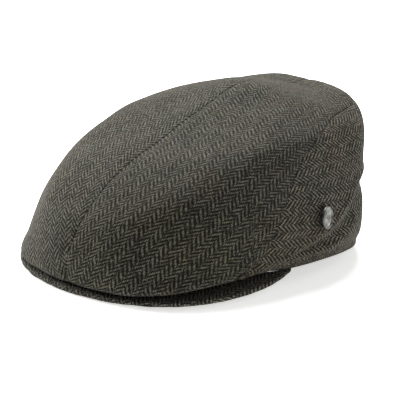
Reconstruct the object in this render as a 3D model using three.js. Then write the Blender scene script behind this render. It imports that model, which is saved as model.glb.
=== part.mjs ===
// A flat cap of herringbone wool: a crown of two top halves and two back panels, a cloth-covered
// peak under the crown's front, and a round metal stud on the wearer's left.
// Lengths are in millimetres. The peak faces -Y, the wearer's left is +X and Z is up.
// Angles go round the head opening from the front, in degrees.

import * as THREE from "three";

// The crown, measured from the middle of the head opening and from the floor
const CROWN_FRONT = 154;
const CROWN_BACK = 102;
const CROWN_HALF_WIDTH = 97.7;
const CROWN_HEIGHT = 119.2;

// The head opening, for a 58 cm head. The cap lies on the opening's back, whose hem its own weight
// presses flat on the floor, and on the peak's edge.
const OPENING_FRONT = 98.5;
const OPENING_BACK = 98;
const OPENING_HALF_WIDTH = 91;
const OPENING_FRONT_RISE = 7.8;
const OPENING_SIDE_RISE = 10.7;
const OPENING_FRONT_POWER = 2.05;
const OPENING_BACK_POWER = 2.5;
const OPENING_BACK_PRESSED = 0.8;

// The cloth and its seams
const CLOTH_THICKNESS = 2;
const SEAM_GAP = 0.3;

// The peak, a crescent that starts at the opening's front
const PEAK_REACH = 57.5;
const PEAK_THICKNESS = 3.6;
const PEAK_DROP = 3.8;
const PEAK_FLARE = 46;
const PEAK_END_ANGLE = 77;
const PEAK_CLEARANCE = 0.4;

// The crease behind the badge, where the crown sags over its lower back
const CREASE_BULGE = 1.4;
const CREASE_DEPTH = 3.4;

// The badge, a round metal stud
const BADGE_DIAMETER = 15.8;
const BADGE_THICKNESS = 1.2;
const BADGE_RIM_WIDTH = 1.4;
const BADGE_RIM_HEIGHT = 0.7;
const BADGE_CLEARANCE = 0.4;
const BADGE_ANGLE = 89;
const BADGE_HEIGHT = 45;
const BADGE_TURN = 15;

// How finely the surfaces are divided
const TOP_ROWS = 23;
const FRONT_COLUMNS = 9;
const SEAM_COLUMNS = 24;
const BACK_ROWS = 10;
const PEAK_COLUMNS = 28;
const PEAK_ROWS = 6;
const NOSE_STEPS = 4;
const BADGE_SEGMENTS = 28;

// Sections of the crown, from near its top down to where the cloth folds in. front, back and side
// are shares of the crown's reach that way, the heights are shares of CROWN_HEIGHT, and a power of
// 2 is an ellipse while a higher one is squarer. A tilt of 1 slopes a section evenly from front to
// back, and a tilt of 2 keeps the slope to its two ends.
const CROWN_SECTIONS = [
  { name: "crest", front: 0.181, back: 0.262, side: 0.264, frontPower: 2, backPower: 2, frontHeight: 0.881, sideHeight: 0.927, backHeight: 1, tilt: 1 },
  { name: "dome", front: 0.425, back: 0.612, side: 0.523, frontPower: 2, backPower: 2, frontHeight: 0.762, sideHeight: 0.885, backHeight: 0.9375, tilt: 1.2 },
  { name: "shoulder", front: 0.656, back: 0.723, side: 0.737, frontPower: 2.1, backPower: 2.35, frontHeight: 0.65, sideHeight: 0.804, backHeight: 0.9225, tilt: 1.6 },
  { name: "brow", front: 0.877, back: 1, side: 0.826, frontPower: 2.3, backPower: 2.8, frontHeight: 0.454, sideHeight: 0.68, backHeight: 0.896, tilt: 1.9 },
  { name: "flank", front: 0.9625, back: 0.974, side: 0.957, frontPower: 2.25, backPower: 2.4, frontHeight: 0.3035, sideHeight: 0.49, backHeight: 0.605, tilt: 2 },
  { name: "cheek", front: 1, back: 0.982, side: 1, frontPower: 2.4, backPower: 2.3, frontHeight: 0.158, sideHeight: 0.215, backHeight: 0.415, tilt: 2 },
];
const APEX = { back: 0.0205, height: 0.9695 };

// The fold and the tuck below it follow the peak in front, so their front heights are worked out
const FOLD = { front: 0.976, back: 0.957, side: 0.95, frontPower: 3, backPower: 2.7, sideHeight: 0.14, backHeight: 0.21 };
const TUCK = { front: 0.5, back: 0.4, side: 0.55, frontPower: 2.2, backPower: 2.5, sideHeight: 0.5, backHeight: 0.65 };

// The seam between a top half and a back panel. section counts the sections down from the apex:
// 3 is the shoulder, 6 the cheek, 7 the fold and 9 the opening's hem.
const BACK_SEAM = [
  { angle: 64, section: 9 },
  { angle: 65.5, section: 8 },
  { angle: 67, section: 6.7 },
  { angle: 69.5, section: 6 },
  { angle: 73.5, section: 5.45 },
  { angle: 77.5, section: 4.9 },
  { angle: 82.5, section: 4.4 },
  { angle: 87, section: 3.95 },
  { angle: 91, section: 3.5 },
  { angle: 97, section: 3.2 },
  { angle: 107, section: 3.05 },
  { angle: 120, section: 3 },
  { angle: 130, section: 3.15 },
  { angle: 138, section: 3.4 },
  { angle: 148, section: 3.75 },
  { angle: 165, section: 3.95 },
  { angle: 180, section: 4 },
];

// The crease's ridge, and how strong the crease is along it
const CREASE = [
  { angle: 78, section: 6.1, strength: 0 },
  { angle: 83.5, section: 5.86, strength: 0.6 },
  { angle: 89, section: 5.68, strength: 1 },
  { angle: 93, section: 5.58, strength: 1 },
  { angle: 97.5, section: 5.46, strength: 1 },
  { angle: 105, section: 5.26, strength: 1 },
  { angle: 112, section: 5.08, strength: 0.9 },
  { angle: 122, section: 5, strength: 0.7 },
  { angle: 150, section: 5.1, strength: 0.35 },
  { angle: 180, section: 5.2, strength: 0.2 },
];
const CREASE_RIDGE_WIDTH = 0.2;
const CREASE_HOLLOW_OFFSET = 0.42;
const CREASE_HOLLOW_WIDTH = 0.3;

const radians = THREE.MathUtils.degToRad;
const lerp = THREE.MathUtils.lerp;

// A cosine or sine raised so that the curve is squarer than an ellipse
function squared(value, power) {
  return Math.sign(value) * Math.abs(value) ** (2 / power);
}

// A column's value at an angle in a table of rows, straight between two rows
function readTable(table, angle, column) {
  let row = 0;
  while (row < table.length - 2 && table[row + 1].angle < angle) row += 1;
  const from = table[row];
  const to = table[row + 1];
  const share = THREE.MathUtils.clamp((angle - from.angle) / (to.angle - from.angle), 0, 1);
  return lerp(from[column], to[column], share);
}

// How high the peak's upper side lies in the middle, this far in front of the opening's middle
function peakHeightInFront(front) {
  const out = (front - OPENING_FRONT) / PEAK_REACH;
  return OPENING_FRONT_RISE - PEAK_CLEARANCE - PEAK_DROP * Math.min(out, 1);
}

// Every section as real lengths, from the crest to the opening's hem
function allSections() {
  const sections = CROWN_SECTIONS.map((row) => ({
    front: row.front * CROWN_FRONT,
    back: row.back * CROWN_BACK,
    side: row.side * CROWN_HALF_WIDTH,
    frontPower: row.frontPower,
    backPower: row.backPower,
    frontHeight: row.frontHeight * CROWN_HEIGHT,
    sideHeight: row.sideHeight * CROWN_HEIGHT,
    backHeight: row.backHeight * CROWN_HEIGHT,
    tilt: row.tilt,
  }));
  const hem = {
    front: OPENING_FRONT,
    back: OPENING_BACK,
    side: OPENING_HALF_WIDTH,
    frontPower: OPENING_FRONT_POWER,
    backPower: OPENING_BACK_POWER,
    frontHeight: OPENING_FRONT_RISE,
    sideHeight: OPENING_SIDE_RISE,
    backHeight: -OPENING_BACK_PRESSED,
    tilt: 2,
  };
  const foldFront = FOLD.front * CROWN_FRONT;
  const fold = {
    front: foldFront,
    back: FOLD.back * CROWN_BACK,
    side: FOLD.side * CROWN_HALF_WIDTH,
    frontPower: FOLD.frontPower,
    backPower: FOLD.backPower,
    frontHeight: peakHeightInFront(foldFront) + 3 * PEAK_CLEARANCE,
    sideHeight: FOLD.sideHeight * CROWN_HEIGHT,
    backHeight: FOLD.backHeight * CROWN_HEIGHT,
    tilt: 2,
  };
  const tuckFront = lerp(fold.front, hem.front, TUCK.front);
  const tuck = {
    front: tuckFront,
    back: lerp(fold.back, hem.back, TUCK.back),
    side: lerp(fold.side, hem.side, TUCK.side),
    frontPower: TUCK.frontPower,
    backPower: TUCK.backPower,
    frontHeight: peakHeightInFront(tuckFront) + 2 * PEAK_CLEARANCE,
    sideHeight: lerp(fold.sideHeight, hem.sideHeight, TUCK.sideHeight),
    backHeight: lerp(fold.backHeight, hem.backHeight, TUCK.backHeight),
    tilt: 2,
  };
  return [...sections, fold, tuck, hem];
}
const SECTIONS = allSections();
const HEM = SECTIONS[SECTIONS.length - 1];
const HEM_SECTION = SECTIONS.length;

// The point of one section at an angle
function sectionPoint(section, angle) {
  const cosine = Math.cos(radians(angle));
  const sine = Math.sin(radians(angle));
  const inFront = cosine > 0;
  const power = inFront ? section.frontPower : section.backPower;
  const reach = inFront ? section.front : section.back;
  const evenHeight = (section.frontHeight + section.backHeight) / 2;
  const slope = (section.frontHeight - section.backHeight) / 2;
  return new THREE.Vector3(
    section.side * squared(sine, power),
    -reach * squared(cosine, power),
    evenHeight * cosine ** 2 + section.sideHeight * sine ** 2 + slope * squared(cosine, 2 / section.tilt),
  );
}

// The crown's outer side without its crease: a smooth curve from the apex through the sections
function smoothPoint(place, angle) {
  const knot = (index) => {
    if (index < 0) return sectionPoint(SECTIONS[0], angle + 180);
    if (index === 0) return new THREE.Vector3(0, APEX.back * CROWN_BACK, APEX.height * CROWN_HEIGHT);
    return sectionPoint(SECTIONS[index - 1], angle);
  };
  const index = Math.min(Math.floor(place), HEM_SECTION - 1);
  const share = place - index;
  const before = knot(index - 1);
  const from = knot(index);
  const to = knot(index + 1);
  const after = index + 2 <= HEM_SECTION ? knot(index + 2) : to.clone().multiplyScalar(2).sub(from);
  const blend = (a, b, c, d) =>
    0.5 * (2 * b + (c - a) * share + (2 * a - 5 * b + 4 * c - d) * share ** 2 + (3 * b - a - 3 * c + d) * share ** 3);
  return new THREE.Vector3(
    blend(before.x, from.x, to.x, after.x),
    blend(before.y, from.y, to.y, after.y),
    blend(before.z, from.z, to.z, after.z),
  );
}

// The direction out of the crown at a place on a surface function
function outwards(surface, place, angle) {
  if (place < 0.05) return new THREE.Vector3(0, 0, 1);
  const step = 0.02;
  const low = Math.min(place + step, HEM_SECTION);
  const down = surface(low, angle).sub(surface(low - 2 * step, angle));
  const round = surface(place, angle + 1).sub(surface(place, angle - 1));
  return down.cross(round).normalize();
}

// How far the crease moves the cloth out: a ridge, and a hollow under it
function creaseShift(place, angle) {
  const strength = readTable(CREASE, angle, "strength");
  if (angle < CREASE[0].angle || strength === 0) return 0;
  const below = place - readTable(CREASE, angle, "section");
  const ridge = CREASE_BULGE * Math.exp(-((below / CREASE_RIDGE_WIDTH) ** 2));
  const hollow = CREASE_DEPTH * Math.exp(-(((below - CREASE_HOLLOW_OFFSET) / CREASE_HOLLOW_WIDTH) ** 2));
  return strength * (ridge - hollow);
}

function crownPoint(place, angle) {
  const point = smoothPoint(place, angle);
  const shift = creaseShift(place, Math.min(angle, 360 - angle));
  return point.addScaledVector(outwards(smoothPoint, place, angle), shift);
}

// A closed body from grids of outer and inner points. Points that fall together become one, and
// triangles that this leaves without area are dropped. A ring's last column is its first one.
function closedBody(outer, inner, flipped, ring = false) {
  const positions = [];
  const seen = new Map();
  const indices = [];
  const vertex = (point) => {
    const key = [point.x, point.y, point.z].map((value) => Math.round(value * 1000)).join();
    if (!seen.has(key)) {
      seen.set(key, positions.length / 3);
      positions.push(point.x, point.y, point.z);
    }
    return seen.get(key);
  };
  const triangle = (a, b, c) => {
    const corners = [vertex(a), vertex(b), vertex(c)];
    if (new Set(corners).size < 3) return;
    indices.push(...(flipped ? corners.reverse() : corners));
  };
  const quad = (a, b, c, d) => {
    triangle(a, b, c);
    triangle(a, c, d);
  };
  const lastRow = outer.length - 1;
  const lastColumn = outer[0].length - 1;
  for (let i = 0; i < lastRow; i += 1) {
    for (let j = 0; j < lastColumn; j += 1) {
      quad(outer[i][j], outer[i + 1][j], outer[i + 1][j + 1], outer[i][j + 1]);
      quad(inner[i][j], inner[i][j + 1], inner[i + 1][j + 1], inner[i + 1][j]);
    }
  }
  for (let i = 0; i < lastRow && !ring; i += 1) {
    quad(outer[i][0], inner[i][0], inner[i + 1][0], outer[i + 1][0]);
    quad(outer[i + 1][lastColumn], inner[i + 1][lastColumn], inner[i][lastColumn], outer[i][lastColumn]);
  }
  for (let j = 0; j < lastColumn; j += 1) {
    quad(outer[0][j + 1], inner[0][j + 1], inner[0][j], outer[0][j]);
    quad(outer[lastRow][j], inner[lastRow][j], inner[lastRow][j + 1], outer[lastRow][j + 1]);
  }
  const geometry = new THREE.BufferGeometry();
  geometry.setAttribute("position", new THREE.Float32BufferAttribute(positions, 3));
  geometry.setIndex(indices);
  geometry.computeVertexNormals();
  return geometry;
}

// The back seam as evenly shared stations along a smooth curve through its table. away is the way
// out of the seam towards the top, in the cloth and square to the seam.
function backSeamStations() {
  const curve = new THREE.SplineCurve(BACK_SEAM.map((row) => new THREE.Vector2(row.angle, row.section)));
  const stations = curve.getPoints(SEAM_COLUMNS).map((point) => ({ angle: point.x, section: point.y }));
  return stations.map((station, i) => {
    const before = stations[Math.max(i - 1, 0)];
    const after = stations[Math.min(i + 1, SEAM_COLUMNS)];
    const along = crownPoint(after.section, after.angle).sub(crownPoint(before.section, before.angle));
    const away = outwards(crownPoint, station.section, station.angle).cross(along).normalize();
    return { ...station, away };
  });
}

// One cloth panel from rows of places on the crown. side is 1 on the wearer's left and -1 on the
// right, and shift moves a point in the cloth.
function clothPanel(rows, side) {
  const outer = [];
  const inner = [];
  for (const row of rows) {
    const outerRow = [];
    const innerRow = [];
    for (const { place, angle, shift } of row) {
      const point = crownPoint(place, angle);
      if (shift) point.add(shift);
      const under = point.clone().addScaledVector(outwards(crownPoint, place, angle), -CLOTH_THICKNESS);
      for (const end of [point, under]) {
        end.x = side * Math.max(end.x, SEAM_GAP / 2);
        end.z = Math.max(end.z, 0);
      }
      outerRow.push(point);
      innerRow.push(under);
    }
    outer.push(outerRow);
    inner.push(innerRow);
  }
  return closedBody(outer, inner, side < 0);
}

// A top half: from the apex down to the hem in front, and down to the back seam further round
function topHalf(side) {
  const columns = [];
  for (let i = 0; i < FRONT_COLUMNS; i += 1) {
    columns.push({ angle: (BACK_SEAM[0].angle * i) / FRONT_COLUMNS, section: HEM_SECTION, away: null });
  }
  columns.push(...backSeamStations());
  const rows = [];
  for (let i = 0; i <= TOP_ROWS; i += 1) {
    rows.push(
      columns.map(({ angle, section, away }) => ({
        place: (section * i) / TOP_ROWS,
        angle,
        shift: away && i === TOP_ROWS ? away.clone().multiplyScalar(SEAM_GAP / 2) : null,
      })),
    );
  }
  return clothPanel(rows, side);
}

// A back panel: from the back seam down to the hem
function backPanel(side) {
  const stations = backSeamStations().slice(1);
  const rows = [];
  for (let i = 0; i <= BACK_ROWS; i += 1) {
    rows.push(
      stations.map(({ angle, section, away }) => ({
        place: lerp(section, HEM_SECTION, (i / BACK_ROWS) ** 1.2),
        angle,
        shift: i === 0 ? away.clone().multiplyScalar(-SEAM_GAP / 2) : null,
      })),
    );
  }
  return clothPanel(rows, side);
}

// The peak: flat in front and drooping at its sides, with a rounded edge
function peakBody() {
  const outer = [];
  const inner = [];
  const reachAt = (angle) => Math.max(1 - (angle / PEAK_END_ANGLE) ** 2, 0) ** 1.15;
  for (let j = 0; j <= PEAK_COLUMNS; j += 1) {
    const angle = lerp(-0.97, 0.97, j / PEAK_COLUMNS) * PEAK_END_ANGLE;
    const reach = reachAt(angle);
    const root = sectionPoint(HEM, angle);
    const way = new THREE.Vector3((PEAK_FLARE * reach * root.x) / OPENING_HALF_WIDTH, -PEAK_REACH * reach, 0);
    const drop = PEAK_DROP * reach ** 0.4;
    const width = Math.hypot(way.x, way.y);
    const nose = Math.min(PEAK_THICKNESS / 2, width / 3);
    const upper = [];
    const lower = [];
    const addPair = (distance, half) => {
      const share = distance / width;
      const middle = root.clone().addScaledVector(way, share);
      middle.z += -PEAK_CLEARANCE - PEAK_THICKNESS / 2 - drop * share;
      upper.push(middle.clone().add(new THREE.Vector3(0, 0, half)));
      lower.push(middle.clone().add(new THREE.Vector3(0, 0, -half)));
    };
    for (let i = 0; i <= PEAK_ROWS; i += 1) addPair(((width - nose) * i) / PEAK_ROWS, PEAK_THICKNESS / 2);
    for (let i = 1; i <= NOSE_STEPS; i += 1) {
      const turn = (i / NOSE_STEPS) * (Math.PI / 2);
      addPair(width - nose + nose * Math.sin(turn), (PEAK_THICKNESS / 2) * Math.cos(turn));
    }
    outer.push(upper);
    inner.push(lower);
  }
  return closedBody(outer, inner, true);
}

// Where the badge sits: on the back panel at its height, facing out and turned a little backwards.
// across, along and facing are the badge's own axes.
function badgeSeat() {
  let place = 4;
  while (place < 7 && crownPoint(place, BADGE_ANGLE).z > BADGE_HEIGHT) place += 0.02;
  const turn = radians(BADGE_TURN);
  const facing = outwards(smoothPoint, place, BADGE_ANGLE).applyAxisAngle(new THREE.Vector3(0, 0, 1), turn);
  const across = new THREE.Vector3(0, 0, 1).cross(facing).normalize();
  return { place, centre: crownPoint(place, BADGE_ANGLE), across, along: facing.clone().cross(across), facing };
}

// The cloth under the badge as heights along the way that the badge faces
function clothUnderBadge({ place, centre, across, along, facing }) {
  const samples = [];
  for (let down = -0.8; down <= 0.8; down += 0.025) {
    for (let round = -7; round <= 7; round += 0.25) {
      const offset = crownPoint(place + down, BADGE_ANGLE + round).sub(centre);
      samples.push({ x: offset.dot(across), y: offset.dot(along), height: offset.dot(facing) });
    }
  }
  return samples;
}

// The badge: a disc with a raised rim and a low middle, whose back follows the cloth
function badgeBody(seat) {
  const radius = BADGE_DIAMETER / 2;
  const cloth = clothUnderBadge(seat);
  const clothHeight = (x, y) => {
    let nearest = cloth[0];
    for (const sample of cloth) {
      if (Math.hypot(sample.x - x, sample.y - y) < Math.hypot(nearest.x - x, nearest.y - y)) nearest = sample;
    }
    return nearest.height;
  };
  const underBadge = cloth.filter((sample) => Math.hypot(sample.x, sample.y) < radius);
  const face = Math.max(...underBadge.map((sample) => sample.height)) + BADGE_CLEARANCE + BADGE_THICKNESS;
  const rings = [
    { radius: 0, rise: BADGE_RIM_HEIGHT },
    { radius: radius / 2, rise: BADGE_RIM_HEIGHT / 2 },
    { radius: radius - BADGE_RIM_WIDTH, rise: 0 },
    { radius: radius - (BADGE_RIM_WIDTH * 2) / 3, rise: BADGE_RIM_HEIGHT },
    { radius: radius - BADGE_RIM_WIDTH / 3, rise: BADGE_RIM_HEIGHT },
    { radius, rise: 0 },
  ];
  const front = [];
  const back = [];
  for (const ring of rings) {
    const frontRow = [];
    const backRow = [];
    for (let j = 0; j <= BADGE_SEGMENTS; j += 1) {
      const turn = ((j % BADGE_SEGMENTS) / BADGE_SEGMENTS) * 2 * Math.PI;
      const x = ring.radius * Math.cos(turn);
      const y = ring.radius * Math.sin(turn);
      frontRow.push(new THREE.Vector3(x, y, face + ring.rise));
      backRow.push(new THREE.Vector3(x, y, clothHeight(x, y) + BADGE_CLEARANCE));
    }
    front.push(frontRow);
    back.push(backRow);
  }
  return closedBody(front, back, false, true);
}

const topCloth = new THREE.MeshStandardMaterial({ color: 0x4b4a43, roughness: 0.96, metalness: 0 });
const backCloth = new THREE.MeshStandardMaterial({ color: 0x57514a, roughness: 0.96, metalness: 0 });
const peakCloth = new THREE.MeshStandardMaterial({ color: 0x3a3a36, roughness: 0.96, metalness: 0 });
const badgeMetal = new THREE.MeshStandardMaterial({ color: 0x9b9d99, roughness: 0.38, metalness: 1 });

const cap = new THREE.Group();

function addPiece(name, geometry, material) {
  const mesh = new THREE.Mesh(geometry, material);
  mesh.name = name;
  cap.add(mesh);
  return mesh;
}

addPiece("top_left", topHalf(1), topCloth);
addPiece("top_right", topHalf(-1), topCloth);
addPiece("back_left", backPanel(1), backCloth);
addPiece("back_right", backPanel(-1), backCloth);
addPiece("peak", peakBody(), peakCloth);

const seat = badgeSeat();
const badge = addPiece("badge", badgeBody(seat), badgeMetal);
badge.position.copy(seat.centre);
badge.quaternion.setFromRotationMatrix(new THREE.Matrix4().makeBasis(seat.across, seat.along, seat.facing));

// The origin is the middle of the cap's outline, on the floor
const outline = new THREE.Box3().setFromObject(cap, true);
const middle = outline.getCenter(new THREE.Vector3());
cap.position.set(-middle.x, -middle.y, -outline.min.z);

export default cap;
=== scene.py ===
import math

import bmesh
import bpy
import numpy as np
from mathutils import Matrix, Vector


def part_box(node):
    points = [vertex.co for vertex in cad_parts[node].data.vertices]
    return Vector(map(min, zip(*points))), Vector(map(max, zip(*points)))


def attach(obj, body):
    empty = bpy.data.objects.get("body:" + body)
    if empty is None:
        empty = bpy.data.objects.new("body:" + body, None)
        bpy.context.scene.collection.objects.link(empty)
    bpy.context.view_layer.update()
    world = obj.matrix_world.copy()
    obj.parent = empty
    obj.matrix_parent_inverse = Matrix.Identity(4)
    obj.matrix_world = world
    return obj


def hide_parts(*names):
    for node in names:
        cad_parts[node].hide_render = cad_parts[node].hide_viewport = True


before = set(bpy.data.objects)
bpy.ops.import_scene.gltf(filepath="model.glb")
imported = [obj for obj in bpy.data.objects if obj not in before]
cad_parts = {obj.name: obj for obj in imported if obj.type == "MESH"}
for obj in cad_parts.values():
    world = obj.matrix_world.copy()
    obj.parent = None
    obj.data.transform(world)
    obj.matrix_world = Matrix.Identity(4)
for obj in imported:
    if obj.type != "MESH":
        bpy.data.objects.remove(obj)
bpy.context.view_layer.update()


# The studio: one camera in front of the cap's left side, a wide pale floor that glows but for a spot
# under the cap, a pale tent all round and four soft lamps, so that the crown's top catches the light
# and its near side stays dark.
CAMERA_AZIMUTH = math.radians(40.25)
CAMERA_ELEVATION = math.radians(15.95)
CAMERA_ROLL = math.radians(3.08)
CAMERA_DISTANCE = 1.4
CAMERA_LENS = 177.66
CAMERA_TARGET = Vector((-0.00251, 0.01134, 0.055))
CAMERA_SHIFT = (-0.01778, -0.06175)
FLOOR_HALF_SIZE = 4.0
FLOOR_COLOUR = (0.9, 0.9, 0.89, 1)
FLOOR_ROUGHNESS = 0.9
FLOOR_GLOSS = 0.1
FLOOR_GLOW = 0.68
CAP_MIDDLE = (0, 0.026, 0)
SHADED_RADIUS = 0.05
GLOW_EDGE = 0.006
TENT_COLOUR = (1.0, 1.0, 1.0, 1)
TENT_STRENGTH = 0.16

LAMPS = [
    {"name": "top_lamp", "place": (-0.75, 0.6, 1.5), "size": 1.2, "power": 62.0},
    {"name": "far_side_lamp", "place": (-1.7, -0.5, 0.9), "size": 1.0, "power": 36.0},
    {"name": "back_lamp", "place": (0.7, 1.8, 1.0), "size": 1.2, "power": 8.0},
    {"name": "near_side_lamp", "place": (1.9, 0.2, 0.8), "size": 1.0, "power": 3.0},
]


def link_object(name, data):
    made = bpy.data.objects.new(name, data)
    bpy.context.scene.collection.objects.link(made)
    return made


def new_material(name, roughness):
    """A material with a plain Principled shader of that roughness, as (material, tree, shader)."""
    material = bpy.data.materials.new(name)
    material.use_nodes = True
    tree = material.node_tree
    shader = tree.nodes["Principled BSDF"]
    shader.inputs["Roughness"].default_value = roughness
    return material, tree, shader


def set_up_camera():
    back = Vector((
        math.sin(CAMERA_AZIMUTH) * math.cos(CAMERA_ELEVATION),
        -math.cos(CAMERA_AZIMUTH) * math.cos(CAMERA_ELEVATION),
        math.sin(CAMERA_ELEVATION),
    ))
    level = Vector((math.cos(CAMERA_AZIMUTH), math.sin(CAMERA_AZIMUTH), 0))
    upright = back.cross(level)
    right = level * math.cos(CAMERA_ROLL) + upright * math.sin(CAMERA_ROLL)
    up = upright * math.cos(CAMERA_ROLL) - level * math.sin(CAMERA_ROLL)
    camera = link_object("camera", bpy.data.cameras.new("camera"))
    camera.data.lens = CAMERA_LENS
    camera.data.sensor_width = 36
    camera.data.clip_start = 0.05
    camera.data.clip_end = 50
    camera.data.shift_x, camera.data.shift_y = CAMERA_SHIFT
    turn = Matrix((right, up, back)).transposed().to_4x4()
    camera.matrix_world = Matrix.Translation(CAMERA_TARGET + back * CAMERA_DISTANCE) @ turn
    bpy.context.scene.camera = camera


set_up_camera()
bpy.context.scene.view_settings.view_transform = "Standard"

floor_mesh = bpy.data.meshes.new("floor")
floor_shape = bmesh.new()
bmesh.ops.create_grid(floor_shape, x_segments=8, y_segments=8, size=FLOOR_HALF_SIZE)
floor_shape.to_mesh(floor_mesh)
floor_shape.free()
floor = link_object("floor", floor_mesh)
floor_paint, floor_tree, floor_shader = new_material("pale_floor", FLOOR_ROUGHNESS)
floor_shader.inputs["Base Color"].default_value = FLOOR_COLOUR
floor_shader.inputs["Specular IOR Level"].default_value = FLOOR_GLOSS
floor_shader.inputs["Emission Color"].default_value = FLOOR_COLOUR
from_middle = floor_tree.nodes.new("ShaderNodeVectorMath")
from_middle.operation = "DISTANCE"
from_middle.inputs[1].default_value = CAP_MIDDLE
floor_place = floor_tree.nodes.new("ShaderNodeTexCoord")
floor_tree.links.new(floor_place.outputs["Object"], from_middle.inputs[0])
outside = floor_tree.nodes.new("ShaderNodeMapRange")
outside.inputs["From Min"].default_value = SHADED_RADIUS
outside.inputs["From Max"].default_value = SHADED_RADIUS + GLOW_EDGE
outside.inputs["To Max"].default_value = FLOOR_GLOW
floor_tree.links.new(from_middle.outputs["Value"], outside.inputs["Value"])
floor_tree.links.new(outside.outputs[0], floor_shader.inputs["Emission Strength"])
floor_mesh.materials.append(floor_paint)

tent = bpy.data.worlds.new("tent")
tent.use_nodes = True
tent.node_tree.nodes["Background"].inputs["Color"].default_value = TENT_COLOUR
tent.node_tree.nodes["Background"].inputs["Strength"].default_value = TENT_STRENGTH
bpy.context.scene.world = tent

for row in LAMPS:
    lamp = link_object(row["name"], bpy.data.lights.new(row["name"], "AREA"))
    lamp.data.shape = "DISK"
    lamp.data.size = row["size"]
    lamp.data.energy = row["power"]
    lamp.location = row["place"]
    lamp.rotation_mode = "QUATERNION"
    lamp.rotation_quaternion = (CAMERA_TARGET - lamp.location).to_track_quat("-Z", "Y")


# The crown's two top halves: herringbone wool cut with the grain nearly along the middle seam, pressed
# over a block and sewn to each other, and to the back panels round the back. In front each one folds
# under and runs back over the peak to the head opening's hem.
CROWN_FRONT = 0.154
CROWN_BACK = 0.102
CROWN_HALF_WIDTH = 0.0977
CROWN_HEIGHT = 0.1192
OPENING_FRONT = 0.0985
OPENING_BACK = 0.098
OPENING_HALF_WIDTH = 0.091
OPENING_FRONT_RISE = 0.0078
OPENING_SIDE_RISE = 0.0107
OPENING_BACK_PRESSED = 0.0008
LOWEST_CLOTH = 0.0003
PRESSED_BAND = 0.012
PEAK_REACH = 0.0575
PEAK_DROP = 0.0038
PEAK_CLEARANCE = 0.0004
CLOTH_THICKNESS = 0.0018
SEAM_GAP = 0.00004
SEAM_ROUNDING = 0.0008
SEAM_DIP = 0.0004
SEAM_DIP_WIDTH = 0.0042
PUCKER_LENGTH = 0.011
PUCKER_SHARE = 0.5
PUCKER_DRIFT = 1.9
WAVE_HEIGHT = 0.00045
WAVE_LENGTH = 0.034
WAVE_SEED = 7
WAVES_SUMMED = 14
WAVES_PEAK = 5
WAVE_SPREAD = (0.7, 1.5)

# Sections of the crown from near its top down to its widest, as shares of the crown's reaches and
# height. A power of 2 is an ellipse and a higher one is squarer.
SECTION_COLUMNS = (
    "front", "back", "side", "front_power", "back_power",
    "front_height", "side_height", "back_height", "tilt",
)
CROWN_SECTIONS = {
    "crest": (0.181, 0.262, 0.264, 2, 2, 0.881, 0.927, 1, 1),
    "dome": (0.425, 0.612, 0.523, 2, 2, 0.762, 0.885, 0.9375, 1.2),
    "shoulder": (0.656, 0.723, 0.737, 2.1, 2.35, 0.65, 0.804, 0.9225, 1.6),
    "brow": (0.877, 1, 0.826, 2.3, 2.8, 0.454, 0.68, 0.896, 1.9),
    "flank": (0.9625, 0.974, 0.957, 2.25, 2.4, 0.3035, 0.49, 0.605, 2),
    "cheek": (1, 0.982, 1, 2.4, 2.3, 0.158, 0.215, 0.415, 2),
}

# Below them the edge turns in: the fold's lengths as shares of the crown's, and then the tuck's as
# shares of the way from the fold to the hem.
FOLD = {"front": 0.976, "back": 0.957, "side": 0.95, "side_height": 0.14, "back_height": 0.21}
TUCK = {"front": 0.5, "back": 0.4, "side": 0.55, "side_height": 0.5, "back_height": 0.65}
FOLD_POWERS = (3, 2.7)
TUCK_POWERS = (2.2, 2.5)
HEM_POWERS = (2.05, 2.5)
LOWER_TILT = 2
APEX_BACK = 0.0205
APEX_HEIGHT = 0.9695

# The seam between a top half and a back panel, as angles from the front and sections down from the
# apex: 3 is the shoulder, 6 the cheek, 7 the fold and 9 the hem.
BACK_SEAM = [
    (64, 9), (65.5, 8), (67, 6.7), (69.5, 6), (73.5, 5.45), (77.5, 4.9), (82.5, 4.4), (87, 3.95),
    (91, 3.5), (97, 3.2), (107, 3.05), (120, 3), (130, 3.15), (138, 3.4), (148, 3.75), (165, 3.95),
    (180, 4),
]
SEAM_POINTS = 240

# The crease behind the badge, as (angle, section, strength). Its widths are in sections.
CREASE = [
    (78, 6.1, 0), (83.5, 5.86, 0.6), (89, 5.68, 1), (93, 5.58, 1), (97.5, 5.46, 1),
    (105, 5.26, 1), (112, 5.08, 0.9), (122, 5, 0.7), (150, 5.1, 0.35), (180, 5.2, 0.2),
]
CREASE_BULGE = 0.0019
CREASE_DEPTH = 0.0042
CREASE_RIDGE_WIDTH = 0.13
CREASE_HOLLOW_OFFSET = 0.36
CREASE_HOLLOW_WIDTH = 0.25

LET_OUT_FROM = 6.7
LET_OUT_ALONG = 0.3
UNWRAP_ROUNDS = 40
CUT_ROWS = 34
CUT_COLUMNS = (50, 70)
FRONT_COLUMNS = 92
SEAM_COLUMNS = 150
TOP_ROWS = 116
CLOSE_ANGLES = np.array((0.0, 0.07, 0.2, 0.42, 0.8, 1.4))
CLOSE_BAND = 1.9
EDGE_STEPS = np.array((0.0, 0.0002, 0.0005, 0.0009, 0.0014, 0.0021, 0.003))
SAME_PLACE = 1e-6
INSIDE_CROWN = (0, 0, 0.045)

CROWN_MIDDLE = np.array((
    (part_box("top_left")[0].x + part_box("top_right")[1].x) / 2,
    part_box("peak")[0].y + OPENING_FRONT + PEAK_REACH,
    0,
))


def peak_height_in_front(front):
    """How high the peak's upper side lies in the middle, this far in front of the opening's middle."""
    out = min((front - OPENING_FRONT) / PEAK_REACH, 1)
    return OPENING_FRONT_RISE - PEAK_CLEARANCE - PEAK_DROP * out


def between(low, high, share):
    return low + (high - low) * share


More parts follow.
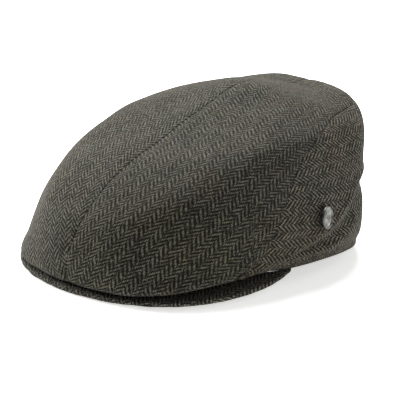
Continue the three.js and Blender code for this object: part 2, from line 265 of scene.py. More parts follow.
def crown_sections():
    """Every section as real lengths, from the crest to the head opening's hem."""
    sections = []
    for shares in CROWN_SECTIONS.values():
        row = dict(zip(SECTION_COLUMNS, shares))
        row["front"] *= CROWN_FRONT
        row["back"] *= CROWN_BACK
        row["side"] *= CROWN_HALF_WIDTH
        for height in ("front_height", "side_height", "back_height"):
            row[height] *= CROWN_HEIGHT
        sections.append(row)
    hem = dict(zip(SECTION_COLUMNS, (
        OPENING_FRONT, OPENING_BACK, OPENING_HALF_WIDTH, *HEM_POWERS,
        OPENING_FRONT_RISE, OPENING_SIDE_RISE, -OPENING_BACK_PRESSED, LOWER_TILT,
    )))
    fold_front = FOLD["front"] * CROWN_FRONT
    fold = dict(zip(SECTION_COLUMNS, (
        fold_front, FOLD["back"] * CROWN_BACK, FOLD["side"] * CROWN_HALF_WIDTH, *FOLD_POWERS,
        peak_height_in_front(fold_front) + 3 * PEAK_CLEARANCE,
        FOLD["side_height"] * CROWN_HEIGHT, FOLD["back_height"] * CROWN_HEIGHT, LOWER_TILT,
    )))
    tuck = {key: between(fold[key], hem[key], share) for key, share in TUCK.items()}
    tuck["front_power"], tuck["back_power"] = TUCK_POWERS
    tuck["front_height"] = peak_height_in_front(tuck["front"]) + 2 * PEAK_CLEARANCE
    tuck["tilt"] = LOWER_TILT
    return [*sections, fold, tuck, hem]


SECTIONS = crown_sections()
HEM = SECTIONS[-1]
HEM_SECTION = len(SECTIONS)


def squared(value, power):
    """A cosine or sine raised so that the curve is squarer than an ellipse."""
    return np.sign(value) * np.abs(value) ** (2 / power)


def section_point(section, angle):
    cosine = np.cos(np.radians(angle))
    sine = np.sin(np.radians(angle))
    in_front = cosine > 0
    power = np.where(in_front, section["front_power"], section["back_power"])
    reach = np.where(in_front, section["front"], section["back"])
    even = (section["front_height"] + section["back_height"]) / 2
    slope = (section["front_height"] - section["back_height"]) / 2
    height = (
        even * cosine**2
        + section["side_height"] * sine**2
        + slope * squared(cosine, 2 / section["tilt"])
    )
    across = section["side"] * squared(sine, power)
    return np.stack([across, -reach * squared(cosine, power), height], axis=-1)


def on_curve(a, b, c, d, share):
    """The place between b and c, at a share of the way, on a smooth curve through four points."""
    return 0.5 * (
        2 * b
        + (c - a) * share
        + (2 * a - 5 * b + 4 * c - d) * share**2
        + (3 * b - a - 3 * c + d) * share**3
    )


def smooth_point(place, angle):
    """The crown's outer side without its crease, on a smooth curve from the apex through the sections."""
    place, angle = np.broadcast_arrays(np.asarray(place, float), np.asarray(angle, float))
    apex = np.broadcast_to((0, APEX_BACK * CROWN_BACK, APEX_HEIGHT * CROWN_HEIGHT), (*angle.shape, 3))
    knots = [section_point(SECTIONS[0], angle + 180), apex]
    knots += [section_point(section, angle) for section in SECTIONS]
    knots.append(2 * knots[-1] - knots[-2])
    knots = np.stack(knots)
    index = np.clip(np.floor(place), 0, HEM_SECTION - 1).astype(int)
    share = (place - index)[..., None]

    def knot(offset):
        picked = np.broadcast_to((index + offset)[None, ..., None], (1, *index.shape, 3))
        return np.take_along_axis(knots, picked, axis=0)[0]

    return on_curve(*(knot(offset) for offset in range(4)), share)


def unit(vectors):
    return vectors / np.maximum(np.linalg.norm(vectors, axis=-1, keepdims=True), 1e-12)


def outwards(surface, place, angle):
    """The direction out of the crown at places on a surface function. Round the apex, where all
    columns meet, it is one direction."""
    step = 0.02
    apex_circle = 0.05
    low = np.minimum(place + step, HEM_SECTION)
    down = surface(low, angle) - surface(low - 2 * step, angle)
    round_it = surface(place, angle + 1) - surface(place, angle - 1)
    out = unit(np.cross(down, round_it))
    across_top = smooth_point(2 * apex_circle, 180.0) - smooth_point(2 * apex_circle, 0.0)
    at_apex = unit(np.array((0, -across_top[2], across_top[1])))
    return np.where((place < apex_circle)[..., None], at_apex, out)


def crease_shift(place, angle):
    """How far the crease moves the cloth out: a ridge, and a hollow under it."""
    angle = np.minimum(angle, 360 - angle)
    table = np.array(CREASE, float)
    strength = np.interp(angle, table[:, 0], table[:, 2], left=0)
    below = place - np.interp(angle, table[:, 0], table[:, 1])
    ridge = CREASE_BULGE * np.exp(-((below / CREASE_RIDGE_WIDTH) ** 2))
    hollow = CREASE_DEPTH * np.exp(-(((below - CREASE_HOLLOW_OFFSET) / CREASE_HOLLOW_WIDTH) ** 2))
    return strength * (ridge - hollow)


def crown_point(place, angle):
    place, angle = np.broadcast_arrays(np.asarray(place, float), np.asarray(angle, float))
    shift = crease_shift(place, angle)[..., None]
    return smooth_point(place, angle) + outwards(smooth_point, place, angle) * shift


def lengths_along(line):
    """How far along a line of points each one is, or down every column of a grid of points."""
    gaps = np.linalg.norm(np.diff(line, axis=0), axis=-1)
    return np.concatenate([np.zeros((1, *gaps.shape[1:])), np.cumsum(gaps, axis=0)])


def back_seam_points(count):
    """The back seam's angles and sections, evenly along a smooth curve through its table."""
    table = np.array(BACK_SEAM, float)
    last = len(table) - 1
    at = np.linspace(0, last, count + 1)
    index = np.minimum(np.floor(at), last - 1).astype(int)
    share = (at - index)[:, None]
    knots = (table[np.clip(index + offset, 0, last)] for offset in (-1, 0, 1, 2))
    curve = on_curve(*knots, share)
    return curve[:, 0], curve[:, 1]


SEAM_ANGLES, SEAM_SECTIONS = back_seam_points(SEAM_POINTS)
SEAM_LINE = crown_point(SEAM_SECTIONS, SEAM_ANGLES)


def front_columns(last, count):
    """Angles from the front to the last one, evenly but for a few close ones at the middle seam."""
    even = np.linspace(0, last, count)
    return np.concatenate([CLOSE_ANGLES, even[even > CLOSE_BAND]])


def seam_columns(count):
    """Angles and sections of columns that end at the back seam, evenly along the seam."""
    length = lengths_along(SEAM_LINE)
    even = np.interp(np.linspace(0, length[-1], count), length, SEAM_ANGLES)
    turned = np.linspace(SEAM_ANGLES[0], 180, count)
    angles = 0.5 * (even + turned)
    angles = np.concatenate([angles[angles < 180 - CLOSE_BAND], 180 - CLOSE_ANGLES[::-1]])
    return angles, np.interp(angles, SEAM_ANGLES, SEAM_SECTIONS)


def places_down(angles, top, bottom, rows):
    """Places down each column with even gaps in the cloth, and close ones at both ends."""
    fine = np.linspace(0, 1, 500)[:, None]
    places = top + (bottom - top) * fine
    length = lengths_along(crown_point(places, np.broadcast_to(angles, places.shape)))
    made = np.empty((rows, len(angles)))
    for j in range(len(angles)):
        whole = length[-1, j]
        near = EDGE_STEPS * min(1, whole / (4 * EDGE_STEPS[-1]))
        inner = np.linspace(near[-1], whole - near[-1], rows - 2 * len(near) + 2)[1:-1]
        at = np.concatenate([near, inner, (whole - near)[::-1]])
        made[:, j] = np.interp(at, length[:, j], places[:, j])
    return made


def distance_to_line(points, line):
    """How far each point is from a line of points, and how far along the line that is."""
    lengths = lengths_along(line)
    flat = points.reshape(-1, 3)
    best = np.full(len(flat), np.inf)
    along = np.zeros(len(flat))
    starts, ways = line[:-1], np.diff(line, axis=0)
    squares = np.maximum((ways**2).sum(1), 1e-15)
    batch = 4000
    for first in range(0, len(flat), batch):
        part = flat[first:first + batch, None]
        share = np.clip(((part - starts) * ways).sum(2) / squares, 0, 1)
        gap = np.linalg.norm(part - starts - share[..., None] * ways, axis=2)
        nearest = gap.argmin(axis=1)
        rows = np.arange(len(nearest))
        best[first:first + batch] = gap[rows, nearest]
        along[first:first + batch] = lengths[nearest] + share[rows, nearest] * np.sqrt(squares[nearest])
    return best.reshape(points.shape[:-1]), along.reshape(points.shape[:-1])


def seam_depth(distance, along):
    """How deep the cloth lies beside a seam: a rounded edge in a shallow, slightly puckered valley."""
    inside = np.clip(1 - distance / SEAM_ROUNDING, 0, 1)
    rounding = SEAM_ROUNDING * (1 - np.sqrt(np.maximum(1 - inside**2, 0)))
    even = np.sin(2 * math.pi * along / PUCKER_LENGTH)
    pucker = 1 + PUCKER_SHARE * even * np.sin(along / PUCKER_LENGTH * PUCKER_DRIFT + 1)
    return rounding + SEAM_DIP * pucker * np.exp(-((distance / SEAM_DIP_WIDTH) ** 2))


def waves(points, length, seed):
    """Smooth uneven waves of about that length, mostly between -1 and 1."""
    chance = np.random.default_rng(seed)
    total = np.zeros(points.shape[:-1])
    for _ in range(WAVES_SUMMED):
        way = unit(chance.normal(size=3)) * 2 * math.pi / (length * chance.uniform(*WAVE_SPREAD))
        total += np.cos(points @ way + chance.uniform(0, 2 * math.pi))
    return total / WAVES_PEAK


def grid_mesh(name, points, flat, ring=False):
    """A mesh of quads through a grid of points, as (rows, columns, 3), with its flat cut as its UV
    map. Points that fall together become one."""
    rows, columns = points.shape[:2]
    shape = bmesh.new()
    bmesh.ops.create_grid(shape, x_segments=columns - 1, y_segments=rows - 1, size=0.5)
    cut = shape.loops.layers.uv.new("cloth")
    for vertex in shape.verts:
        column = round((vertex.co.x + 0.5) * (columns - 1))
        row = round((vertex.co.y + 0.5) * (rows - 1))
        vertex.co = points[row, column]
        for corner in vertex.link_loops:
            corner[cut].uv = flat[row, column]
    bmesh.ops.remove_doubles(shape, verts=shape.verts, dist=SAME_PLACE)
    if ring:
        bmesh.ops.holes_fill(shape, edges=[edge for edge in shape.edges if edge.is_boundary])
    for face in shape.faces:
        face.smooth = True
    mesh = bpy.data.meshes.new(name)
    shape.to_mesh(mesh)
    shape.free()
    return mesh


def points_of(mesh):
    points = np.zeros(len(mesh.vertices) * 3)
    mesh.vertices.foreach_get("co", points)
    return points.reshape(-1, 3)


def face_outwards(mesh, middle):
    """Turns the faces so that they point away from a point inside."""
    mesh.update()
    centres = np.zeros(len(mesh.polygons) * 3)
    normals = np.zeros(len(mesh.polygons) * 3)
    mesh.polygons.foreach_get("center", centres)
    mesh.polygons.foreach_get("normal", normals)
    facing = ((centres.reshape(-1, 3) - middle) * normals.reshape(-1, 3)).sum(1)
    if np.median(facing) < 0:
        mesh.flip_normals()


def unfolded(places, angles):
    """The crown's surface with its folded edge let out straight, as it is before it is turned in."""
    top = np.minimum(places, LET_OUT_FROM)
    points = smooth_point(top, angles)
    lower = smooth_point(np.full_like(places, LET_OUT_FROM), angles)
    way = unit(lower - smooth_point(np.full_like(places, LET_OUT_FROM - LET_OUT_ALONG), angles))
    length = lengths_along(smooth_point(places, angles))
    past = np.where(places > LET_OUT_FROM, 1.0, 0.0)
    columns = range(places.shape[1])
    start = np.stack([np.interp(LET_OUT_FROM, places[:, j], length[:, j]) for j in columns])
    return points + way * (past * (length - start))[..., None]


def cut_flat(places, angles, grain, joint):
    """A panel's flat cut: map places in metres for its grid of points. The grain runs up the map. It
    lies along the line between two points of the grid, given as (row share, column share), and is
    turned from there by the last angle. The columns change their spacing at the joint."""
    last_row, last_column = places.shape[0] - 1, places.shape[1] - 1
    rows = np.unique(np.round(np.linspace(1, last_row, CUT_ROWS)).astype(int))
    columns = np.unique(np.concatenate([
        np.round(np.linspace(0, joint, CUT_COLUMNS[0])),
        np.round(np.linspace(joint, last_column, CUT_COLUMNS[1])),
    ]).astype(int))
    corner = np.ix_(rows, columns)
    points = unfolded(places, angles)[corner]
    mesh = grid_mesh("flat_cut", points, np.zeros((*points.shape[:2], 2)))
    piece = link_object("flat_cut", mesh)
    bpy.ops.object.select_all(action="DESELECT")
    bpy.context.view_layer.objects.active = piece
    piece.select_set(True)
    bpy.ops.object.mode_set(mode="EDIT")
    bpy.ops.mesh.select_all(action="SELECT")
    bpy.ops.uv.unwrap(method="MINIMUM_STRETCH", iterations=UNWRAP_ROUNDS, margin=0.001)
    bpy.ops.object.mode_set(mode="OBJECT")
    corner_vertex = np.zeros(len(mesh.loops), int)
    mesh.loops.foreach_get("vertex_index", corner_vertex)
    loop_flat = np.zeros(len(mesh.loops) * 2)
    mesh.uv_layers["cloth"].uv.foreach_get("vector", loop_flat)
    made = points_of(mesh)
    vertex_flat = np.zeros((len(made), 2))
    vertex_flat[corner_vertex] = loop_flat.reshape(-1, 2)
    gap = np.linalg.norm(points.reshape(-1, 1, 3) - made[None], axis=2)
    flat = vertex_flat[gap.argmin(axis=1)].reshape(*points.shape[:2], 2)
    bpy.data.objects.remove(piece)

    def cell_areas(grid):
        down, along = np.diff(grid, axis=0)[:, :-1], np.diff(grid, axis=1)[:-1]
        if grid.shape[2] == 2:
            return down[..., 0] * along[..., 1] - down[..., 1] * along[..., 0]
        return np.linalg.norm(np.cross(down, along), axis=2)

    turned = cell_areas(flat)
    flat = flat * math.sqrt(cell_areas(points).sum() / abs(turned.sum()))
    every = unfolded(places, angles)
    whole = np.empty((len(rows), last_column + 1, 2))
    for i, row in enumerate(rows):
        length = lengths_along(every[row])
        for axis in range(2):
            whole[i, :, axis] = np.interp(length, length[columns], flat[i, :, axis])
    dense = np.empty((last_row + 1, last_column + 1, 2))
    for j in range(last_column + 1):
        length = lengths_along(every[:, j])
        for axis in range(2):
            dense[:, j, axis] = np.interp(length, length[rows], whole[:, j, axis])
    if turned.sum() > 0:
        dense[..., 0] *= -1
    ends = [dense[round(row * last_row), round(column * last_column)] for row, column in grain[:2]]
    way = ends[1] - ends[0]
    angle = math.pi / 2 - math.atan2(way[1], way[0]) + grain[2]
    cosine, sine = math.cos(angle), math.sin(angle)
    dense = dense @ np.array(((cosine, sine), (-sine, cosine)))
    return dense, float(np.abs(cell_areas(dense)).sum())


def feed(tree, sockets, values):
    """Gives each socket its value: a number, a colour or another node's output."""
    for socket, value in zip(sockets, values):
        if isinstance(value, bpy.types.NodeSocket):
            tree.links.new(value, socket)
        else:
            socket.default_value = value


def math_node(tree, operation, *values):
    node = tree.nodes.new("ShaderNodeMath")
    node.operation = operation
    feed(tree, node.inputs, values)
    return node.outputs[0]


def mixed(tree, share, first, second, blend="MIX"):
    """Two colours mixed by a share, on the mix node's sockets for colours."""
    node = tree.nodes.new("ShaderNodeMix")
    node.data_type = "RGBA"
    node.blend_type = blend
    feed(tree, [node.inputs[0], node.inputs[6], node.inputs[7]], (share, first, second))
    return node.outputs[2]


def shaded(tree, colour, shade):
    """A colour times a number, both another node's output."""
    return mixed(tree, 1.0, colour, pair(tree, shade, shade, shade), "MULTIPLY")


def times(colour, factors):
    return tuple(x * y for x, y in zip(colour, factors))


def noise(tree, where, scale, detail=2.0, output=0):
    node = tree.nodes.new("ShaderNodeTexNoise")
    node.inputs["Scale"].default_value = scale
    node.inputs["Detail"].default_value = detail
    tree.links.new(where, node.inputs["Vector"])
    return node.outputs[output]


def steps(tree, value, low, high, new_low=0.0, new_high=1.0):
    """A value from low to high eased to the new range."""
    node = tree.nodes.new("ShaderNodeMapRange")
    node.interpolation_type = "SMOOTHSTEP"
    tree.links.new(value, node.inputs["Value"])
    ends = {"From Min": low, "From Max": high, "To Min": new_low, "To Max": new_high}
    for name, number in ends.items():
        node.inputs[name].default_value = number
    return node.outputs[0]


def pair(tree, x, y, z=0.0):
    node = tree.nodes.new("ShaderNodeCombineXYZ")
    feed(tree, node.inputs, (x, y, z))
    return node.outputs[0]


HERRINGBONE_COLUMN = 0.0052
HERRINGBONE_PITCH = 0.00385
SLANT_PITCH = 0.0034
YARNS_IN_COLUMN = 6
FLOAT_SHARE = 0.41
FLOAT_SOFTNESS = 0.06
FLOAT_DIP = 6.0
YARN_DRIFT = 0.0016
YARN_SLIP = 0.1
YARN_ROUNDNESS = 3.0
RAGGEDNESS = 0.36
GROUND_HEIGHT = 0.7
FUZZ_HEIGHT = 0.55
WEAVE_BUMP = {"Strength": 0.65, "Distance": 0.00035}
PALER_DARK_YARN = 2.1
PALER_CHANCES = (0.6, 1.0)
FLOAT_BRIGHTNESS = (0.5, 1.5)
# Pale specks over the wool are painted highlights where fibres catch the light: how bright they are
# against the light yarn, and their most share
GLINT_SPECK_BRIGHTNESS = 2.2
GLINT_SPECK_SHARE = 0.7
WOOL_ROUGHNESS = 0.92
WOOL_GLOSS = 0.12
SHEEN_ROUGHNESS = 0.45
SHEEN_TINT = (0.95, 0.83, 0.8, 1)

# Painted shade in the weave's low places and painted light on its high ones: how dark the cloth is
# painted in the low places and how bright in the high ones
SHADE_BY_HEIGHT = {"low": -0.1, "high": 1.15, "new_low": 0.3, "new_high": 1.25}

# How fine each noise in the wool is, and where the specks (painted highlights where fibres catch the
# light) and the broad tint begin and are full
NOISE_SCALES = {"drift": 55, "ragged": 800, "fuzz": 1900, "glint_specks": 1050, "tint": 16}
GLINT_SPECK_RANGE = (0.62, 0.74)
TINT_RANGE = (0.35, 0.7)

# Flecks of other colours in the light yarn: how fine their noise is, where it begins to show and is
# full, its most, and its colour as shares of the yarn's red, green and blue
FLECKS = {
    "slate": (34, 0.4, 0.62, 0.4, (0.72, 0.86, 0.92, 1)),
    "rose": (45, 0.5, 0.68, 0.28, (1.25, 0.95, 0.86, 1)),
    "olive": (120, 0.64, 0.76, 0.6, (1.08, 1.16, 0.7, 1)),
}


def herringbone_wool(name, dark, light, tint, tint_share, sheen, skew=(0.0, 0.0)):
    """Herringbone wool on the piece's own flat cut. Light yarns run up the map and show as floats
    that step sideways along slanting lines, which change direction from column to column. The skew
    says how far pressing pulled the yarns out of square, across and along."""
    material, tree, shader = new_material(name, roughness=WOOL_ROUGHNESS)
    cut = tree.nodes.new("ShaderNodeUVMap")
    cut.uv_map = "cloth"
    here = tree.nodes.new("ShaderNodeTexCoord").outputs["Object"]
    split_drift = tree.nodes.new("ShaderNodeSeparateXYZ")
    drift = noise(tree, here, NOISE_SCALES["drift"], output=1)
    tree.links.new(drift, split_drift.inputs[0])
    split = tree.nodes.new("ShaderNodeSeparateXYZ")
    tree.links.new(cut.outputs[0], split.inputs[0])
    u = math_node(tree, "MULTIPLY_ADD", split.outputs[1], skew[0], split.outputs[0])
    v = math_node(tree, "MULTIPLY_ADD", split.outputs[0], skew[1], split.outputs[1])
    u = math_node(tree, "MULTIPLY_ADD", split_drift.outputs[0], YARN_DRIFT, u)
    v = math_node(tree, "MULTIPLY_ADD", split_drift.outputs[1], YARN_DRIFT, v)

    # Which yarn this is, and how far along its own float
    yarn_width = HERRINGBONE_COLUMN / YARNS_IN_COLUMN
    yarns = math_node(tree, "DIVIDE", u, yarn_width)
    yarn = math_node(tree, "FLOOR", yarns)
    across_yarn = math_node(tree, "SUBTRACT", math_node(tree, "FRACT", yarns), 0.5)
    columns = math_node(tree, "DIVIDE", math_node(tree, "ADD", yarn, 0.5), YARNS_IN_COLUMN)
    zigzag = math_node(tree, "PINGPONG", columns, 1.0)
    odd = math_node(tree, "FLOORED_MODULO", math_node(tree, "FLOOR", columns), 2.0)
    yarn_chance = tree.nodes.new("ShaderNodeTexWhiteNoise")
    yarn_chance.noise_dimensions = "1D"
    tree.links.new(yarn, yarn_chance.inputs["W"])
    slant = math_node(tree, "MULTIPLY", zigzag, HERRINGBONE_COLUMN / SLANT_PITCH)
    up = math_node(tree, "MULTIPLY_ADD", v, 1 / HERRINGBONE_PITCH, slant)
    up = math_node(tree, "MULTIPLY_ADD", odd, 0.5, up)
    up = math_node(tree, "MULTIPLY_ADD", yarn_chance.outputs["Value"], YARN_SLIP, up)
    phase = math_node(tree, "FRACT", up)
    from_middle = math_node(tree, "ABSOLUTE", math_node(tree, "SUBTRACT", phase, 0.5))

    # How high the cloth stands: rounded floats, the ground yarns between them, and fuzz over both
    ragged = math_node(tree, "SUBTRACT", noise(tree, here, NOISE_SCALES["ragged"]), 0.5)
    from_middle = math_node(tree, "MULTIPLY_ADD", ragged, RAGGEDNESS, from_middle)
    inner, outer = FLOAT_SHARE / 2 - FLOAT_SOFTNESS, FLOAT_SHARE / 2 + FLOAT_SOFTNESS
    on_float = steps(tree, from_middle, inner, outer, new_low=1.0, new_high=0.0)
    off_float = math_node(tree, "SUBTRACT", 1.0, on_float)
    yarn_round = math_node(tree, "MULTIPLY", across_yarn, across_yarn)
    yarn_round = math_node(tree, "MULTIPLY", yarn_round, YARN_ROUNDNESS)
    yarn_round = math_node(tree, "SUBTRACT", 1.0, yarn_round)
    dip = math_node(tree, "MULTIPLY", math_node(tree, "MULTIPLY", from_middle, from_middle), FLOAT_DIP)
    float_height = math_node(tree, "MULTIPLY", yarn_round, math_node(tree, "SUBTRACT", 1.0, dip))
    float_height = math_node(tree, "MULTIPLY", on_float, float_height)
    under = math_node(tree, "PINGPONG", math_node(tree, "MULTIPLY", v, 1 / yarn_width), 0.5)
    under_height = math_node(tree, "MULTIPLY", under, GROUND_HEIGHT)
    under_height = math_node(tree, "MULTIPLY", off_float, under_height)
    height = math_node(tree, "ADD", float_height, under_height)
    fuzz = noise(tree, here, NOISE_SCALES["fuzz"], detail=3)
    height = math_node(tree, "MULTIPLY_ADD", fuzz, FUZZ_HEIGHT, height)

    # The light yarns differ from float to float and carry flecks; low places get painted shade and high
    # ones painted light, and pale specks are painted highlights where fibres catch the light
    float_chance = tree.nodes.new("ShaderNodeTexWhiteNoise")
    float_chance.noise_dimensions = "2D"
    tree.links.new(pair(tree, yarn, math_node(tree, "FLOOR", up)), float_chance.inputs["Vector"])
    chance = float_chance.outputs["Value"]
    fleck_places = {"slate": here, "rose": pair(tree, u, v, 0.7), "olive": here}
    light_yarn = light
    for fleck, (scale, begins, full, most, factors) in FLECKS.items():
        spots = noise(tree, fleck_places[fleck], scale=scale, detail=1)
        share = steps(tree, spots, begins, full, new_high=most)
        light_yarn = mixed(tree, share, light_yarn, times(light, factors))
    light_yarn = shaded(tree, light_yarn, steps(tree, chance, 0.0, 1.0, *FLOAT_BRIGHTNESS))
    paler = steps(tree, chance, *PALER_CHANCES)
    dark_yarn = mixed(tree, paler, dark, times(dark, (PALER_DARK_YARN,) * 4))
    cloth = mixed(tree, on_float, dark_yarn, light_yarn)
    # Painted shade in the weave's low places and painted light on its high ones
    cloth = shaded(tree, cloth, steps(tree, height, **SHADE_BY_HEIGHT))
    # Pale specks brighter than the light yarn: painted highlights where fibres catch the light
    glint_specks = noise(tree, here, NOISE_SCALES["glint_specks"], detail=1)
    glint_mask = steps(tree, glint_specks, *GLINT_SPECK_RANGE, new_high=GLINT_SPECK_SHARE)
    cloth = mixed(tree, glint_mask, cloth, times(light, (GLINT_SPECK_BRIGHTNESS,) * 4))
    broad = steps(tree, noise(tree, here, NOISE_SCALES["tint"]), *TINT_RANGE, new_high=tint_share)
    cloth = mixed(tree, broad, cloth, tint, "MULTIPLY")
    tree.links.new(cloth, shader.inputs["Base Color"])

    bump = tree.nodes.new("ShaderNodeBump")
    feed(tree, [bump.inputs[name] for name in WEAVE_BUMP], WEAVE_BUMP.values())
    tree.links.new(height, bump.inputs["Height"])
    tree.links.new(bump.outputs[0], shader.inputs["Normal"])
    shader.inputs["Specular IOR Level"].default_value = WOOL_GLOSS
    shader.inputs["Sheen Weight"].default_value = sheen
    shader.inputs["Sheen Roughness"].default_value = SHEEN_ROUGHNESS
    shader.inputs["Sheen Tint"].default_value = SHEEN_TINT
    return material


top_wool = herringbone_wool(
    "top_herringbone", dark=(0.0068, 0.0068, 0.0052, 1), light=(0.082, 0.08, 0.062, 1),
    tint=(0.93, 0.86, 0.72, 1), tint_share=0.35, sheen=0.09, skew=(0.2, 0.07),
)


def make_panels(name, places, angles, grain, joint, material):
    """Both sides' panel in cloth of the right thickness, from a grid of places and angles on the
    crown. The right one is the left one's mirror image, but for the cloth's waves."""
    points = crown_point(places, angles)
    out = outwards(crown_point, places, angles)
    to_seam, along_seam = distance_to_line(points, SEAM_LINE)
    to_middle = np.abs(points[..., 0])
    depth = seam_depth(to_seam, along_seam) + seam_depth(to_middle, points[..., 1])
    flat, area = cut_flat(places, angles, grain, joint)
    for side, mirror in (("left", (1, 1, 1)), ("right", (-1, 1, 1))):
        uneven = WAVE_HEIGHT * waves(points * mirror, WAVE_LENGTH, WAVE_SEED) - depth
        placed = points + out * uneven[..., None]
        placed[..., 0] = np.maximum(placed[..., 0], SEAM_GAP / 2)
        below_floor = np.maximum(LOWEST_CLOTH - placed[-1, :, 2], 0)
        near_hem = np.clip(1 - (placed[..., 2] + below_floor) / PRESSED_BAND, 0, 1)
        placed[..., 2] = np.maximum(placed[..., 2] + below_floor * near_hem, LOWEST_CLOTH)
        mesh = grid_mesh(f"{name}_{side}_cloth", placed * mirror, flat)
        face_outwards(mesh, INSIDE_CROWN)
        mesh.transform(Matrix.Translation(CROWN_MIDDLE))
        mesh.materials.append(material)
        piece = link_object(f"{name}_{side}_cloth", mesh)
        wall = piece.modifiers.new("cloth_thickness", "SOLIDIFY")
        wall.thickness = CLOTH_THICKNESS
        wall.offset = -1
        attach(piece, "root")
        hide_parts(f"{name}_{side}")


front_angles = front_columns(BACK_SEAM[0][0], FRONT_COLUMNS)
end_angles, end_sections = seam_columns(SEAM_COLUMNS)
top_angles = np.concatenate([front_angles[:-1], end_angles])
top_ends = np.concatenate([np.full(len(front_angles) - 1, float(HEM_SECTION)), end_sections])
top_places = places_down(top_angles, np.zeros(len(top_angles)), top_ends, TOP_ROWS)
top_grid = np.broadcast_to(top_angles, top_places.shape)
make_panels(
    "top", top_places, top_grid,
    grain=((0.66, 0), (0.1, 0), math.radians(7)), joint=len(front_angles) - 1, material=top_wool,
)


# The back panels: one on each side, of the same wool with more brown in it, its colours painted
# lighter than the top halves' as painted light for the light this side gets. They are sewn under the
# top halves and to each other at the back. Their lower edge folds in to the hem, and the crown sags
# into a crease across them, behind the badge.
BACK_ROWS = 84
back_wool = herringbone_wool(
    "back_herringbone", dark=(0.009, 0.0084, 0.0066, 1), light=(0.116, 0.108, 0.088, 1),
    tint=(0.9, 0.8, 0.66, 1), tint_share=0.7, sheen=0.03,
)
back_angles, back_starts = seam_columns(SEAM_COLUMNS)
back_angles, back_starts = back_angles[1:], back_starts[1:]
back_ends = np.full(len(back_angles), float(HEM_SECTION))
back_places = places_down(back_angles, back_starts, back_ends, BACK_ROWS)
back_grid = np.broadcast_to(back_angles, back_places.shape)
make_panels(
    "back", back_places, back_grid,
    grain=((0.4, 0.3), (0.4, 0.6), math.radians(-22)), joint=0, material=back_wool,
)


# The peak: a stiff crescent sewn to the crown's front and covered in the same wool, drawn tight round
# its rounded edge, its wool's colours painted lighter than the crown's as painted light on the peak.
# It slopes down a little to the front, and only its front edge shows under the crown.
PEAK_THICKNESS = 0.0036
PEAK_FLARE = 0.046
PEAK_END_ANGLE = 77
PEAK_ENDS = 0.985
PEAK_FULL_WIDTH = 0.014
PEAK_TUCK = 0.003
PEAK_COLUMNS = 190
PEAK_ROWS = 46
NOSE_ROWS = 12
PEAK_REACH_POWER = 1.15
PEAK_DROP_POWER = 0.4
PEAK_TAPER_POWER = 0.7
PEAK_WAVE_HEIGHT = 0.00022
PEAK_WAVE_LENGTH = 0.012
PEAK_WAVE_SEED = 21


def peak_grids():
    """The peak's skin as rows round its section, from the root over its top, edge and underside."""
    angles = np.linspace(-PEAK_ENDS, PEAK_ENDS, PEAK_COLUMNS) * PEAK_END_ANGLE
    reach = np.maximum(1 - (angles / PEAK_END_ANGLE) ** 2, 0) ** PEAK_REACH_POWER
    root = section_point(HEM, angles)
    way = np.stack([PEAK_FLARE * reach * root[:, 0] / OPENING_HALF_WIDTH, -PEAK_REACH * reach], axis=1)
    width = np.linalg.norm(way, axis=1)
    drop = PEAK_DROP * reach**PEAK_DROP_POWER
    half = PEAK_THICKNESS / 2 * np.minimum(width / PEAK_FULL_WIDTH, 1) ** PEAK_TAPER_POWER
    nose = np.minimum(half, width / 3)
    turns = np.linspace(0, math.pi, 2 * NOSE_ROWS + 1)
    straight = np.linspace(0, 1, PEAK_ROWS)[:-1, None]
    flat_part = straight * (width - nose + PEAK_TUCK) - PEAK_TUCK
    round_edge = (width - nose) + nose * np.sin(turns)[:, None]
    distance = np.concatenate([flat_part, round_edge, flat_part[::-1]])
    level = np.ones_like(straight)
    lift = half * np.concatenate([level, np.cos(turns)[:, None], -level])
    share = distance / width
    points = np.empty((*distance.shape, 3))
    points[..., :2] = root[:, :2] + way * share[..., None]
    points[..., 2] = root[:, 2] - PEAK_CLEARANCE - half - drop * np.maximum(share, 0) + lift
    flat = root[:, :2] + way * (lengths_along(points) / width)[..., None]
    return points, flat


peak_points, peak_flat = peak_grids()
peak_ring, peak_flat_ring = (np.concatenate([rows, rows[:1]]) for rows in (peak_points, peak_flat))
peak_cover = link_object("peak_cover", grid_mesh("peak_cover", peak_ring, peak_flat_ring, ring=True))
peak_shape = bmesh.new()
peak_shape.from_mesh(peak_cover.data)
bmesh.ops.recalc_face_normals(peak_shape, faces=peak_shape.faces)
peak_shape.to_mesh(peak_cover.data)
peak_shape.free()
peak_skin = points_of(peak_cover.data)
peak_normals = np.zeros(len(peak_skin) * 3)
peak_cover.data.vertices.foreach_get("normal", peak_normals)
peak_uneven = PEAK_WAVE_HEIGHT * waves(peak_skin, PEAK_WAVE_LENGTH, PEAK_WAVE_SEED)
peak_moves = peak_normals.reshape(-1, 3) * (peak_uneven - PEAK_WAVE_HEIGHT)[:, None]
peak_skin = peak_skin + peak_moves + CROWN_MIDDLE
peak_cover.data.vertices.foreach_set("co", peak_skin.reshape(-1))
peak_cover.data.update()
# The peak's wool has the crown's colours painted lighter: painted light on the peak
peak_cover.data.materials.append(herringbone_wool(
    "peak_herringbone", dark=(0.013, 0.0125, 0.0105, 1), light=(0.15, 0.144, 0.118, 1),
    tint=(0.93, 0.86, 0.72, 1), tint_share=0.35, sheen=0.04,
))
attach(peak_cover, "root")
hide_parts("peak")


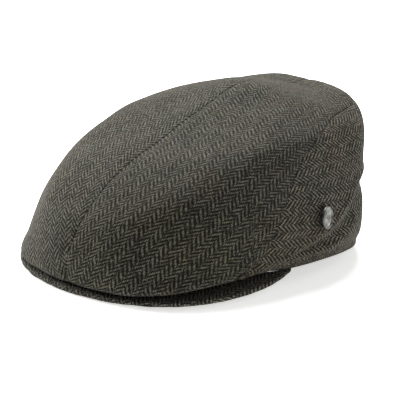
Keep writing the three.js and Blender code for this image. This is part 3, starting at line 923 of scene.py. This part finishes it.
# The badge: a small round stud of dull grey metal, cast with a raised rim round a plain low middle
# and pushed through the wool on the cap's left side.
BADGE_RADIUS = 0.0079
BADGE_RIM_WIDTH = 0.0014
BADGE_RIM_HEIGHT = 0.0007
BADGE_THICKNESS = 0.0012
BADGE_BEVEL = 0.0003
BADGE_BEVEL_FROM = 0.7
BADGE_SHANK_RADIUS = 0.0016
BADGE_SHANK_LENGTH = 0.004
BADGE_ANGLE = 89
BADGE_HEIGHT = 0.045
BADGE_TURN = math.radians(15)
BADGE_SEGMENTS = 96
BADGE_DOME = ((0, 0.00045), (0.0022, 0.00042), (0.0042, 0.00026), (0.0058, 0.00004))

# The rim's section as shares of its width, in from the edge, and of its height over the low middle
BADGE_RIM = ((1, 0), (0.85, 0.35), (0.68, 0.86), (0.48, 1), (0.27, 0.9), (0.08, 0.45), (0, -0.1))


def badge_axes():
    """The badge's middle on the cloth, and its own axes: across, along and facing out."""
    places = np.arange(4, 7, 0.02)
    heights = crown_point(places, BADGE_ANGLE)[:, 2]
    place = np.array([places[np.argmax(heights <= BADGE_HEIGHT)]])
    angle = np.array([float(BADGE_ANGLE)])
    facing = Vector(outwards(smooth_point, place, angle)[0])
    facing.rotate(Matrix.Rotation(BADGE_TURN, 3, "Z"))
    across = Vector((0, 0, 1)).cross(facing).normalized()
    middle = Vector(crown_point(place, angle)[0] + CROWN_MIDDLE)
    return middle, across, facing.cross(across), facing


badge_middle, badge_across, badge_along, badge_facing = badge_axes()
badge_face = max(
    (vertex.co - badge_middle).dot(badge_facing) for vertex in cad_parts["badge"].data.vertices
) - BADGE_RIM_HEIGHT
badge_back = badge_face - BADGE_THICKNESS
badge_profile = [(radius, badge_face + height) for radius, height in BADGE_DOME]
badge_profile += [
    (BADGE_RADIUS - inwards * BADGE_RIM_WIDTH, badge_face + height * BADGE_RIM_HEIGHT)
    for inwards, height in BADGE_RIM
]
badge_profile += [
    (BADGE_RADIUS, badge_face - BADGE_BEVEL_FROM * BADGE_THICKNESS),
    (BADGE_RADIUS - BADGE_BEVEL, badge_back),
    (BADGE_SHANK_RADIUS, badge_back),
    (BADGE_SHANK_RADIUS, badge_back - BADGE_SHANK_LENGTH),
    (0, badge_back - BADGE_SHANK_LENGTH),
]
badge_shape = bmesh.new()
badge_line = [badge_shape.verts.new((radius, 0, height)) for radius, height in badge_profile]
badge_edges = [badge_shape.edges.new(ends) for ends in zip(badge_line, badge_line[1:])]
bmesh.ops.spin(
    badge_shape, geom=badge_line + badge_edges, axis=(0, 0, 1), cent=(0, 0, 0),
    angle=2 * math.pi, steps=BADGE_SEGMENTS, use_merge=True,
)
bmesh.ops.remove_doubles(badge_shape, verts=badge_shape.verts, dist=SAME_PLACE)
bmesh.ops.recalc_face_normals(badge_shape, faces=badge_shape.faces)
for face in badge_shape.faces:
    face.smooth = True
badge_turn = Matrix((badge_across, badge_along, badge_facing)).transposed().to_4x4()
badge_place = Matrix.Translation(badge_middle) @ badge_turn
bmesh.ops.transform(badge_shape, matrix=badge_place, verts=badge_shape.verts)
badge_mesh = bpy.data.meshes.new("badge_stud")
badge_shape.to_mesh(badge_mesh)
badge_shape.free()
badge_stud = link_object("badge_stud", badge_mesh)


RUBBED_METAL = (0.17, 0.17, 0.16, 1)
PATINA = (0.08, 0.08, 0.075, 1)
METAL_ROUGHNESS = (0.3, 0.55)
METAL_BUMP = {"Strength": 0.15, "Distance": 0.0002}
FINE_SHARE = 0.4


def dull_metal():
    """Cast grey metal in two tones, with darker and rougher blotches."""
    material, tree, shader = new_material("dull_grey_metal", roughness=METAL_ROUGHNESS[0])
    here = tree.nodes.new("ShaderNodeTexCoord").outputs["Object"]
    patina = steps(tree, noise(tree, here, scale=300), 0.35, 0.7)
    fine = noise(tree, here, scale=2600, detail=3)
    colour = mixed(tree, patina, RUBBED_METAL, PATINA)
    tree.links.new(colour, shader.inputs["Base Color"])
    tree.links.new(steps(tree, patina, 0, 1, *METAL_ROUGHNESS), shader.inputs["Roughness"])
    shader.inputs["Metallic"].default_value = 1.0
    bump = tree.nodes.new("ShaderNodeBump")
    feed(tree, [bump.inputs[name] for name in METAL_BUMP], METAL_BUMP.values())
    tree.links.new(math_node(tree, "MULTIPLY_ADD", fine, FINE_SHARE, patina), bump.inputs["Height"])
    tree.links.new(bump.outputs[0], shader.inputs["Normal"])
    return material


badge_mesh.materials.append(dull_metal())
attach(badge_stud, "root")
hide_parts("badge")
